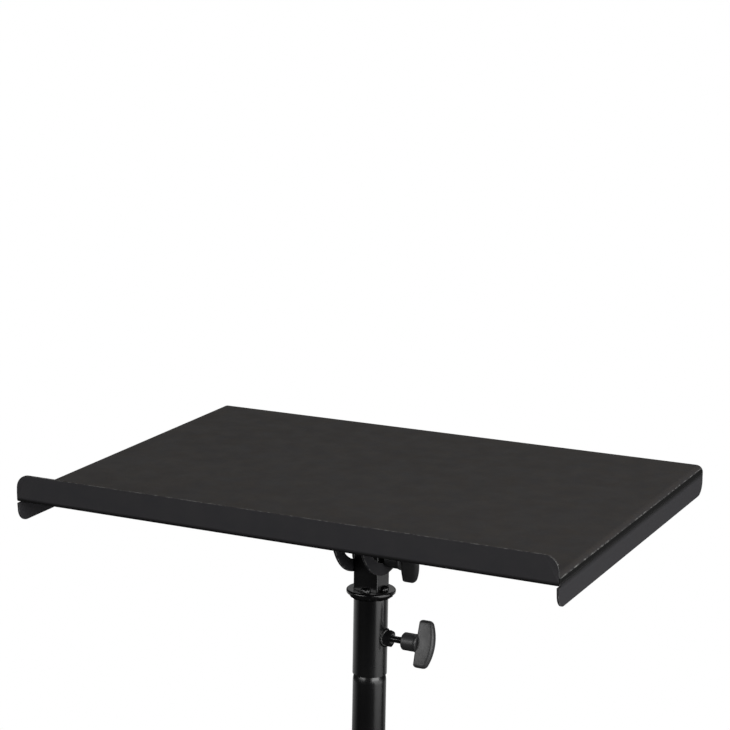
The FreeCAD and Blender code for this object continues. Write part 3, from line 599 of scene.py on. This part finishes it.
def lipFaces(kit, square, work):
    # the lip's front and the round fold under it
    found = []
    for face in work.faces:
        x, y, z = square @ face.calc_center_median() / mm
        forwards = (square.to_3x3() @ face.normal).y < -kit["leanFront"]
        if forwards and y < kit["front"] + kit["lipFold"] and z > kit["lipLow"]:
            found.append(face)
    return found


def cutFaces(work, faces, tilted, place, way, merge):
    edges = {edge for face in faces for edge in face.edges}
    verts = {vert for face in faces for vert in face.verts}
    bmesh.ops.bisect_plane(
        work, geom=[*faces, *edges, *verts], dist=merge * mm,
        plane_co=tilted @ (Vector(place) * mm), plane_no=tilted.to_3x3() @ Vector(way))


def makeTray(kit):
    tilted = trayFrame(kit)
    square = tilted.inverted()
    foldStart = kit["halfWidth"] - kit["bend"]
    lines = [foldStart + kit["bend"] * math.sin(math.radians(angle)) for angle in kit["rubbedAt"]]
    levels = [kit["plateTop"] - depth for depth in kit["thinTo"]]
    work = easedCopy("tray", *kit["edge"], lambda edge: inNotch(kit, square, edge))
    cuts = [((side * x, 0, 0), (1, 0, 0)) for x in lines for side in (1, -1)]
    cuts += [((0, 0, z), (0, 0, 1)) for z in levels]
    for place, way in cuts:
        cutFaces(work, foldFaces(kit, square, work), tilted, place, way, kit["merge"])
    lipLine = (0, 0, kit["lipLow"] + kit["lipThin"])
    cutFaces(work, lipFaces(kit, square, work), tilted, lipLine, (0, 0, 1), kit["merge"])

    # painted shade layer: the darker colour below each fold's line and on the lip's lowest strip
    foldShadeLayer = work.loops.layers.float.new("foldCoat")
    rub = work.loops.layers.float["edgeRub"]
    for face in work.faces:
        for corner in face.loops:
            corner[rub] *= kit["rubbedEdge"]
    for face in foldFaces(kit, square, work):
        for corner in face.loops:
            x, y, z = square @ corner.vert.co / mm
            # painted highlight and wear: the full lighter edge colour on the line along each fold
            if abs(abs(x) - lines[1]) < kit["near"] and z > kit["plateTop"] - kit["bend"]:
                corner[rub] = 1.0
            # painted shade below the fold's line
            if abs(x) > lines[2] - kit["near"] and z > levels[0] - kit["near"]:
                corner[foldShadeLayer] = 1.0
    # painted shade along the lip's lowest strip
    for face in lipFaces(kit, square, work):
        for corner in face.loops:
            z = (square @ corner.vert.co).z / mm
            if z < kit["lipLow"] + kit["lipFold"] + kit["lipMargin"]:
                corner[foldShadeLayer] = 1.0
    evenNormals(addNodePiece("tray", meshFrom(work, "tray")))


makeTray(traySheet)


# upper mast: tube swaged to a spigot, with a round shoulder under the socket

mastTube = {
    "foot": 220.0, "radius": 12.3, "wall": 1.5, "shoulderFoot": 658.2, "shoulderCorner": 658.8,
    "shoulderTop": 662.2, "spigotRadius": 11.35, "spigotTop": 712.2, "rim": 0.35,
    "shoulderRound": 2.2, "neckRound": 0.5, "roundSteps": 10, "sides": 96, "sharpAngle": 50,
}


def makeMast(kit):
    inner = kit["radius"] - kit["wall"]
    spigotInner = kit["spigotRadius"] - kit["wall"]
    outside = softPath([
        (inner, kit["foot"], 0),
        (kit["radius"], kit["foot"], kit["rim"]),
        (kit["radius"], kit["shoulderCorner"], kit["shoulderRound"]),
        (kit["spigotRadius"], kit["shoulderTop"], kit["neckRound"]),
        (kit["spigotRadius"], kit["spigotTop"], kit["rim"]),
        (spigotInner, kit["spigotTop"], 0)], kit["roundSteps"])
    inside = [(spigotInner, kit["shoulderTop"]), (inner, kit["shoulderFoot"])]
    work = bmesh.new()
    turnProfile(work, outside + inside, kit["sides"], closed=True)
    addNodePiece("upper_mast", meshFrom(work, "upperMast", kit["sharpAngle"]))


makeMast(mastTube)


# T-knobs: turned hub, wing lofted along its span

tKnob = {
    "hubRadius": 6.5, "hubLength": 11.4, "hubSides": 48, "nose": 1.0, "noseRound": 0.5,
    "ease": 0.4, "flare": 0.7, "hubInWing": 1.2,
    "span": 34.6, "gauge": 7.0, "depth": 9.4, "crown": 4.0, "edge": 1.2, "round": 2.6, "tip": 2.2,
    "taper": 0.5, "fullest": 0.9, "tipSteps": 6, "wingSteps": 14, "sharpAngle": 50,
}
knobPlaces = {
    # node: height, distance of the nose from the mast's axis, way round the mast, turn
    "tilt_knob": (headPlaces["clampBolt"], headPlaces["earFace"], 0, 18),
    "socket_knob": (headPlaces["socketStud"], 26.7, 0, -18),
    "height_knob": (524.0, 33.9, 0, 10),
    "leg_knob": (300.0, 33.9, -90, 10),
}


def hubProfile(kit):
    radius, length, ease = kit["hubRadius"], kit["hubLength"], kit["ease"]
    return softPath([
        (0, 0, 0),
        (radius - kit["nose"], 0, ease),
        (radius, kit["nose"], kit["noseRound"]),
        (radius, length - 2 * kit["flare"], kit["flare"]),
        (radius + kit["flare"], length + ease, kit["noseRound"]),
        (radius, length + kit["hubInWing"], ease),
        (0, length + kit["hubInWing"], 0)])


def roundedSection(low, high, half, edge, outer, steps=6):
    corners = ((high - outer, half - outer, outer), (low + edge, half - edge, edge),
               (low + edge, edge - half, edge), (high - outer, outer - half, outer))
    points = []
    for quarter, (x, y, radius) in enumerate(corners):
        for step in range(steps + 1):
            angle = math.pi / 2 * (quarter + step / steps)
            points.append((x + radius * math.cos(angle), y + radius * math.sin(angle)))
    return points


def wingStations(kit):
    # height above the hub's axis and inset at the rounded tips
    half, tip, steps = kit["span"] / 2, kit["tip"], kit["wingSteps"]
    angles = [math.pi / 2 * step / kit["tipSteps"] for step in range(kit["tipSteps"] + 1)]
    upper = [(half - tip * (1 - math.cos(a)), tip * (1 - math.sin(a))) for a in angles]
    upper += [((half - tip) * (1 - step / steps), 0.0) for step in range(1, steps)]
    return upper + [(0.0, 0.0)] + [(-z, inset) for z, inset in reversed(upper)]


def knobMesh(kit, name):
    work = bmesh.new()
    turnProfile(work, hubProfile(kit), kit["hubSides"])
    bmesh.ops.transform(work, matrix=Matrix.Rotation(math.pi / 2, 4, "Y"), verts=work.verts)
    half = kit["span"] / 2
    crownRadius = (half ** 2 + kit["crown"] ** 2) / (2 * kit["crown"])
    sections = []
    for z, inset in wingStations(kit):
        rise = math.sqrt(crownRadius ** 2 - z ** 2) - crownRadius
        face = kit["hubLength"] + kit["depth"] + kit["crown"] + rise - inset
        thick = kit["gauge"] / 2 - kit["taper"] * (z / half) ** 2 - inset
        most = thick * kit["fullest"]
        loop = roundedSection(kit["hubLength"] + inset, face, thick,
                              min(kit["edge"], most), min(kit["round"], most))
        sections.append([work.verts.new((x * mm, y * mm, z * mm)) for x, y in loop])
    faces = [work.faces.new(sections[0]), work.faces.new(sections[-1])]
    for low, high in zip(sections, sections[1:]):
        for here in range(len(low)):
            after = (here + 1) % len(low)
            faces.append(work.faces.new((low[here], low[after], high[after], high[here])))
    bmesh.ops.recalc_face_normals(work, faces=faces)
    return meshFrom(work, name, kit["sharpAngle"])


for node, (height, nose, around, turn) in knobPlaces.items():
    mesh = knobMesh(tKnob, node)
    mesh.transform(Matrix.Translation((0, 0, height * mm))
                   @ Matrix.Rotation(math.radians(around), 4, "Z")
                   @ Matrix.Translation((nose * mm, 0, 0))
                   @ Matrix.Rotation(math.radians(turn), 4, "X"))
    addNodePiece(node, mesh)
print("tray, mast and knobs ready")


# bolts with low domed heads

domedBolt = {"headRadius": 5.0, "rim": 0.7, "headHeight": 2.0, "radius": 2.5, "domeSteps": 9,
             "sides": 48}
boltRuns = {
    # node: height, end beyond the mast's axis
    "pivot_bolt": (headPlaces["tiltAxis"], headPlaces["earFace"]),
    "tilt_bolt": (headPlaces["clampBolt"], 23.5),
}


def makeBolts(kit):
    angles = [math.pi / 2 * step / kit["domeSteps"] for step in range(kit["domeSteps"] + 1)]
    rise = kit["headHeight"] - kit["rim"]
    dome = [(kit["headRadius"] * math.sin(a), -kit["rim"] - rise * math.cos(a)) for a in angles]
    for node, (height, end) in boltRuns.items():
        length = end + headPlaces["earFace"]
        shank = [(kit["headRadius"], 0), (kit["radius"], 0), (kit["radius"], length), (0, length)]
        work = bmesh.new()
        turnProfile(work, dome + shank, kit["sides"])
        mesh = meshFrom(work, node)
        mesh.transform(alongX(-headPlaces["earFace"], height))
        addNodePiece(node, mesh)


makeBolts(domedBolt)


# nuts with chamfered corners

pivotNut = {"flats": 8.0, "height": 5.0, "bore": 2.5}
weldedNut = {"flats": 11.0, "height": 17.8, "bore": 2.55, "tube": headPlaces["socketRadius"],
             "sink": 0.4}
nutCut = {"steps": 96, "inside": 0.97, "fall": 0.55, "ease": 0.4, "sharpAngle": 35}


def hexNut(kit, name):
    # corners on X; the top corners are turned off, and the foot may follow a tube
    apothem = kit["flats"] / 2
    inside = apothem * nutCut["inside"]
    bore, top, ease = kit["bore"], kit["height"], nutCut["ease"]
    work = bmesh.new()
    rings = []
    for step in range(nutCut["steps"]):
        angle = math.tau * step / nutCut["steps"]
        across, up = math.cos(angle), math.sin(angle)
        reach = apothem / math.cos(angle % (math.pi / 3) - math.pi / 6)
        drop = (reach - inside) * nutCut["fall"]
        if "tube" in kit:
            foot = [(radius, math.sqrt(kit["tube"] ** 2 - (radius * up) ** 2) - kit["sink"])
                    for radius in (bore, reach)]
        else:
            foot = [(bore, 0.0), (inside, 0.0), (reach, drop)]
        column = foot + [(reach, top - drop), (inside, top), (bore + ease, top), (bore, top - ease)]
        rings.append([work.verts.new((radius * across * mm, radius * up * mm, height * mm))
                      for radius, height in column])
    for here, after in zip(rings, rings[1:] + rings[:1]):
        for low in range(len(here)):
            high = (low + 1) % len(here)
            work.faces.new((here[low], after[low], after[high], here[high]))
    bmesh.ops.recalc_face_normals(work, faces=work.faces)
    return meshFrom(work, name, nutCut["sharpAngle"])


nutPlaces = {
    # node: sizes, distance of the foot from the mast's axis, height
    "pivot_nut": (pivotNut, headPlaces["earFace"], headPlaces["tiltAxis"]),
    "weld_nut": (weldedNut, 0, headPlaces["socketStud"]),
}
for node, (kit, x, height) in nutPlaces.items():
    mesh = hexNut(kit, pieceName(node))
    mesh.transform(alongX(x, height))
    addNodePiece(node, mesh)
print("bolts and nuts ready")


# geometry trees for what repeats or follows a path

def newTree(name, inputs):
    tree = bpy.data.node_groups.new(name, "GeometryNodeTree")
    tree.interface.new_socket("Geometry", in_out="INPUT", socket_type="NodeSocketGeometry")
    for label, value in inputs.items():
        kind = "NodeSocketInt" if isinstance(value, int) else "NodeSocketFloat"
        socket = tree.interface.new_socket(label, in_out="INPUT", socket_type=kind)
        socket.default_value = value
    tree.interface.new_socket("Material", in_out="INPUT", socket_type="NodeSocketMaterial")
    tree.interface.new_socket("Geometry", in_out="OUTPUT", socket_type="NodeSocketGeometry")
    return tree, put(tree, "NodeGroupInput").outputs


def closeTree(tree, shape, given):
    real = put(tree, "GeometryNodeRealizeInstances", {"Geometry": shape})
    smooth = put(tree, "GeometryNodeSetShadeSmooth", {"Geometry": real.outputs["Geometry"]})
    coat = put(tree, "GeometryNodeSetMaterial", {
        "Geometry": smooth.outputs["Geometry"], "Material": given["Material"]})
    put(tree, "NodeGroupOutput", {"Geometry": coat.outputs["Geometry"]})
    return tree


def bakedMesh(name, tree, seed, slot, values):
    host = bpy.data.objects.new(name + "Host", seed)
    scene.collection.objects.link(host)
    modifier = host.modifiers.new(name, "NODES")
    modifier.node_group = tree
    given = dict(values, Material=materials[slot])
    for item in tree.interface.items_tree:
        if item.in_out == "INPUT" and item.name in given:
            modifier[item.identifier] = given[item.name]
    graph = bpy.context.evaluated_depsgraph_get()
    mesh = bpy.data.meshes.new_from_object(host.evaluated_get(graph))
    host.modifiers.remove(modifier)
    bpy.data.objects.remove(host)
    mesh.name = name
    return mesh


def seedPoints(name, points, edges=(), sizes=(), aims=()):
    mesh = bpy.data.meshes.new(name)
    mesh.from_pydata([Vector(point) * mm for point in points], edges, [])
    if sizes:
        mesh.attributes.new("beadSize", "FLOAT", "POINT").data.foreach_set("value", sizes)
    if aims:
        flat = [part for aim in aims for part in aim]
        mesh.attributes.new("aim", "FLOAT_VECTOR", "POINT").data.foreach_set("vector", flat)
    return mesh


def named(tree, label, kind="FLOAT"):
    made = put(tree, "GeometryNodeInputNamedAttribute", {"Name": label}, data_type=kind)
    return made.outputs["Attribute"]


def ringCurve(tree, radius, sides):
    made = put(tree, "GeometryNodeCurvePrimitiveCircle", {"Resolution": sides, "Radius": radius})
    return made.outputs["Curve"]


def hoop(tree, radius, thickness, sides, beadSides=8):
    made = put(tree, "GeometryNodeCurveToMesh", {
        "Curve": ringCurve(tree, radius, sides),
        "Profile Curve": ringCurve(tree, thickness, beadSides)})
    return made.outputs["Mesh"]


def stretchedBall(tree, across, along, segments, rings=12):
    ball = put(tree, "GeometryNodeMeshUVSphere", {
        "Segments": segments, "Rings": rings, "Radius": 1.0})
    size = put(tree, "ShaderNodeCombineXYZ", {"X": across, "Y": across, "Z": along})
    made = put(tree, "GeometryNodeTransform", {
        "Geometry": ball.outputs["Mesh"], "Scale": size.outputs["Vector"]})
    return made.outputs["Geometry"]


def aimedCopies(tree, points, shape):
    # copies of a shape on points, each turned to the point's "aim"
    turn = put(tree, "FunctionNodeAlignRotationToVector", {
        "Vector": named(tree, "aim", "FLOAT_VECTOR")}, axis="Z")
    made = put(tree, "GeometryNodeInstanceOnPoints", {
        "Points": points, "Instance": shape, "Rotation": turn.outputs["Rotation"]})
    return made.outputs["Instances"]


def threadTree():
    # a cylinder whose points follow a helical thread, tapered at both ends
    tree, given = newTree("threadedRod", {
        "Radius": 0.0025, "Length": 0.02, "Pitch": 0.0008, "Depth": 0.0004, "Taper": 0.0006})
    sides, ringsPerTurn, flank, endShrink = 24, 8.0, (0.12, 0.85), 0.2
    turns = calc(tree, "DIVIDE", given["Length"], given["Pitch"])
    rod = put(tree, "GeometryNodeMeshCylinder", {
        "Vertices": sides, "Side Segments": calc(tree, "MULTIPLY", turns, ringsPerTurn),
        "Radius": given["Radius"], "Depth": given["Length"]})
    place = parts(tree, put(tree, "GeometryNodeInputPosition").outputs["Position"])
    around = calc(tree, "DIVIDE", calc(tree, "ARCTAN2", place["Y"], place["X"]), math.tau)
    climb = calc(tree, "DIVIDE", place["Z"], given["Pitch"])
    phase = calc(tree, "FRACT", calc(tree, "SUBTRACT", climb, around))
    centred = calc(tree, "SUBTRACT", calc(tree, "MULTIPLY", phase, 2.0), 1.0)
    groove = ramp(tree, calc(tree, "ABSOLUTE", centred), flank)
    depth = calc(tree, "DIVIDE", calc(tree, "MULTIPLY", groove, given["Depth"]), given["Radius"])
    halfLength = calc(tree, "MULTIPLY", given["Length"], 0.5)
    toEnd = calc(tree, "SUBTRACT", halfLength, calc(tree, "ABSOLUTE", place["Z"]))
    taper = ramp(tree, toEnd, (0.0, given["Taper"]), (endShrink, 0.0))
    scale = calc(tree, "SUBTRACT", 1.0, calc(tree, "MAXIMUM", depth, taper))
    moved = put(tree, "ShaderNodeCombineXYZ", {
        "X": calc(tree, "MULTIPLY", place["X"], scale),
        "Y": calc(tree, "MULTIPLY", place["Y"], scale), "Z": place["Z"]})
    shift = put(tree, "GeometryNodeSetPosition", {
        "Geometry": rod.outputs["Mesh"], "Position": moved.outputs["Vector"]})
    return closeTree(tree, shift.outputs["Geometry"], given)


def weldTree():
    # a rippled, lumpy bead swept along each path, as thick as the path's "beadSize"
    tree, given = newTree("weldBead", {
        "Ripple": 0.0013, "Ripple depth": 0.16, "Lump": 0.9, "Lump scale": 420.0, "Seed": 4})
    spacing, sides, lumpDetail = 0.0003, 12, 2.0
    path = put(tree, "GeometryNodeMeshToCurve", {"Mesh": given["Geometry"]})
    fine = put(tree, "GeometryNodeResampleCurve", {
        "Curve": path.outputs["Curve"], "Length": spacing}, mode="LENGTH")
    along = put(tree, "GeometryNodeSplineParameter").outputs["Length"]
    run = put(tree, "GeometryNodeStoreNamedAttribute", {
        "Geometry": fine.outputs["Curve"], "Name": "beadRun", "Value": along},
        data_type="FLOAT", domain="POINT")
    size = named(tree, "beadSize")
    sweep = put(tree, "GeometryNodeCurveToMesh", {
        "Curve": run.outputs["Geometry"], "Profile Curve": ringCurve(tree, 1.0, sides),
        "Scale": size, "Fill Caps": True})
    waves = calc(tree, "DIVIDE", named(tree, "beadRun"), given["Ripple"])
    wave = calc(tree, "SINE", calc(tree, "MULTIPLY", waves, math.tau))
    ripple = calc(tree, "MULTIPLY", wave, given["Ripple depth"])
    lumps = put(tree, "ShaderNodeTexNoise", {
        "Scale": given["Lump scale"], "Detail": lumpDetail, "W": given["Seed"]},
        noise_dimensions="4D").outputs["Fac"]
    lump = calc(tree, "MULTIPLY", calc(tree, "SUBTRACT", lumps, 0.5), given["Lump"])
    swell = calc(tree, "MULTIPLY", calc(tree, "ADD", ripple, lump), size)
    normal = put(tree, "GeometryNodeInputNormal").outputs["Normal"]
    out = put(tree, "ShaderNodeVectorMath", {0: normal, "Scale": swell}, operation="SCALE")
    shift = put(tree, "GeometryNodeSetPosition", {
        "Geometry": sweep.outputs["Mesh"], "Offset": out.outputs["Vector"]})
    return closeTree(tree, shift.outputs["Geometry"], given)


def rivetTree():
    # formed heads: a dome on a thin rim
    tree, given = newTree("rivetHeads", {"Radius": 0.0045, "Height": 0.0022, "Rim": 0.0006})
    sides = 24
    both = put(tree, "GeometryNodeJoinGeometry")
    for shape in (stretchedBall(tree, given["Radius"], given["Height"], sides),
                  hoop(tree, given["Radius"], given["Rim"], sides)):
        feed(tree, shape, both.inputs["Geometry"])
    copies = aimedCopies(tree, given["Geometry"], both.outputs["Geometry"])
    return closeTree(tree, copies, given)


def bootRibTree():
    # round ribs moulded round a boot
    tree, given = newTree("bootRibs", {"Ring": 0.0125, "Rib": 0.0009})
    rib = hoop(tree, given["Ring"], given["Rib"], sides=48)
    return closeTree(tree, aimedCopies(tree, given["Geometry"], rib), given)


def gripRibTree():
    # upright ribs set round a collar
    tree, given = newTree("gripRibs", {
        "Count": 40, "Ring": 0.02, "Width": 0.0008, "Half length": 0.011})
    circle = put(tree, "GeometryNodeMeshCircle", {
        "Vertices": given["Count"], "Radius": given["Ring"]})
    copies = put(tree, "GeometryNodeInstanceOnPoints", {
        "Points": circle.outputs["Mesh"],
        "Instance": stretchedBall(tree, given["Width"], given["Half length"], segments=10)})
    return closeTree(tree, copies.outputs["Instances"], given)


# threaded studs, and the pivot bolt's threaded end

studThread = {"Radius": 0.0025, "Pitch": 0.0008, "Depth": 0.00042, "Taper": 0.0006}
studTurns = {"socket_stud": "Y", "height_stud": "Y", "leg_stud": "X"}
pivotEnd = {"from": 12.0, "to": 19.4}
rodTree = threadTree()


def threadedRod(name, length, place):
    mesh = bakedMesh(name, rodTree, seedPoints(name + "Seed", [(0, 0, 0)]), "black_fastener",
                     dict(studThread, Length=length))
    mesh.transform(place)
    return mesh


for node, turn in studTurns.items():
    low, high = (Vector(corner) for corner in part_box(node))
    place = Matrix.Translation((low + high) / 2) @ Matrix.Rotation(math.pi / 2, 4, turn)
    addNodePiece(node, threadedRod(pieceName(node), max(high - low), place))
place = alongX((pivotEnd["from"] + pivotEnd["to"]) / 2, headPlaces["tiltAxis"])
thread = threadedRod("pivotBoltThread", (pivotEnd["to"] - pivotEnd["from"]) * mm, place)
addPiece("pivotBoltThread", thread, "head", "black_fastener")


# weld beads on the head, and two runs that hold the bracket's web to the plate

headWelds = {
    "blockHalf": 9.8, "blockFoot": 726.5, "blockBead": 2.7, "blockRun": 7.5, "blockShift": 0.6,
    "blockSteps": 12, "thinning": 0.9, "ringUnder": 723.3, "ringBead": 2.8,
    "nutRadius": 5.7, "nutBead": 1.2, "roundSteps": 48, "lift": 0.2,
}
bracketWelds = {"halfRun": 8.0, "reach": 41.6, "height": 27.9, "bead": 1.1, "steps": 10, "seed": 9}


def blockRuns(kit):
    # one short run in the middle of each side, thin at its ends
    runs = []
    for side in range(4):
        turn = Matrix.Rotation(side * math.pi / 2, 3, "Z")
        points, sizes = [], []
        for step in range(kit["blockSteps"] + 1):
            share = 2 * step / kit["blockSteps"] - 1
            points.append(turn @ Vector((
                kit["blockHalf"] + kit["lift"],
                share * kit["blockRun"] / 2 + kit["blockShift"],
                kit["blockFoot"] + kit["lift"])))
            sizes.append(kit["blockBead"] * math.sqrt(1 - (kit["thinning"] * share) ** 2))
        runs.append((points, sizes, False))
    return runs


def roundRuns(kit):
    # under the ring, and round the foot of the nut on the socket
    tube, steps = headPlaces["socketRadius"], kit["roundSteps"]
    ring, nut = [], []
    for step in range(steps):
        x, y = math.cos(math.tau * step / steps), math.sin(math.tau * step / steps)
        ring.append(((tube + kit["lift"]) * x, (tube + kit["lift"]) * y, kit["ringUnder"]))
        across, up = kit["nutRadius"] * x, kit["nutRadius"] * y
        out = math.sqrt(tube ** 2 - across ** 2) + kit["lift"]
        nut.append((out, across, headPlaces["socketStud"] + up))
    return [(ring, [kit["ringBead"]] * steps, True), (nut, [kit["nutBead"]] * steps, True)]


def bracketRuns(kit):
    runs = []
    for y in (-kit["reach"], kit["reach"]):
        points = [(kit["halfRun"] * (2 * step / kit["steps"] - 1), y, kit["height"])
                  for step in range(kit["steps"] + 1)]
        runs.append((points, [kit["bead"]] * len(points), False))
    return runs


def weldMesh(name, tree, runs, slot, values):
    # runs as (points, sizes, closed) in mm
    points, edges, sizes = [], [], []
    for path, beads, closed in runs:
        first, count = len(points), len(path)
        edges += [(first + step, first + (step + 1) % count)
                  for step in range(count if closed else count - 1)]
        points += path
        sizes += [bead * mm for bead in beads]
    return bakedMesh(name, tree, seedPoints(name + "Paths", points, edges, sizes), slot, values)


beadTree = weldTree()
mesh = weldMesh("headWelds", beadTree, roundRuns(headWelds) + blockRuns(headWelds), "tube_coat", {})
addPiece("headWelds", mesh, "head", "tube_coat")
mesh = weldMesh("bracketWelds", beadTree, bracketRuns(bracketWelds), "tray_coat",
                {"Seed": bracketWelds["seed"]})
mesh.transform(trayFrame(traySheet))
addPiece("bracketWelds", mesh, "tray", "tray_coat")
print("threads and welds ready")


# rivet heads, boot ribs and grip ribs

tripod = {
    "legs": (90, 210, 330), "pivotRadius": 38.0, "pivotHeight": 300.0, "footCircle": 300.0,
    "braceAt": 215.0, "hubRadius": 29.0, "hubHeight": 95.0, "lugOut": 12.8, "braceOut": 11.6,
    "bootRibsAt": (365.0, 369.5, 374.0, 378.5), "gripHeight": 495.0,
}
rivetHead = {"Radius": 0.0046, "Height": 0.0022, "Rim": 0.0006}
bootRib = {"Ring": 0.0125, "Rib": 0.0008}
collarGrip = {"Count": 44, "Ring": 0.0202, "Width": 0.0008, "Half length": 0.0115}


def makeTripodTrim(kit):
    lean = math.atan2(kit["footCircle"] - kit["pivotRadius"], kit["pivotHeight"])
    heads, headAims, ribs, ribAims = [], [], [], []
    for azimuth in kit["legs"]:
        out = Vector((math.cos(math.radians(azimuth)), math.sin(math.radians(azimuth)), 0))
        side = Vector((-out.y, out.x, 0))
        pivot = out * kit["pivotRadius"] + Vector((0, 0, kit["pivotHeight"]))
        down = out * math.sin(lean) - Vector((0, 0, math.cos(lean)))
        hub = out * kit["hubRadius"] + Vector((0, 0, kit["hubHeight"]))
        pins = ((pivot, kit["lugOut"]), (pivot + down * kit["braceAt"], kit["braceOut"]),
                (hub, kit["braceOut"]))
        for place, reach in pins:
            for way in (-1, 1):
                heads.append(place + side * way * reach)
                headAims.append(side * way)
        for run in kit["bootRibsAt"]:
            ribs.append(pivot + down * run)
            ribAims.append(down)
    seed = seedPoints("rivetPlaces", heads, aims=headAims)
    mesh = bakedMesh("rivetHeads", rivetTree(), seed, "pin_steel", rivetHead)
    addPiece("rivetHeads", mesh, "base", "pin_steel")
    seed = seedPoints("bootRibPlaces", ribs, aims=ribAims)
    mesh = bakedMesh("bootRibs", bootRibTree(), seed, "foot_rubber", bootRib)
    addPiece("bootRibs", mesh, "base", "foot_rubber")
    seed = seedPoints("gripSeed", [(0, 0, 0)])
    mesh = bakedMesh("gripRibs", gripRibTree(), seed, "collar_plastic", collarGrip)
    mesh.transform(Matrix.Translation((0, 0, kit["gripHeight"] * mm)))
    addPiece("gripRibs", mesh, "base", "collar_plastic")


makeTripodTrim(tripod)
print("rivets and ribs ready")
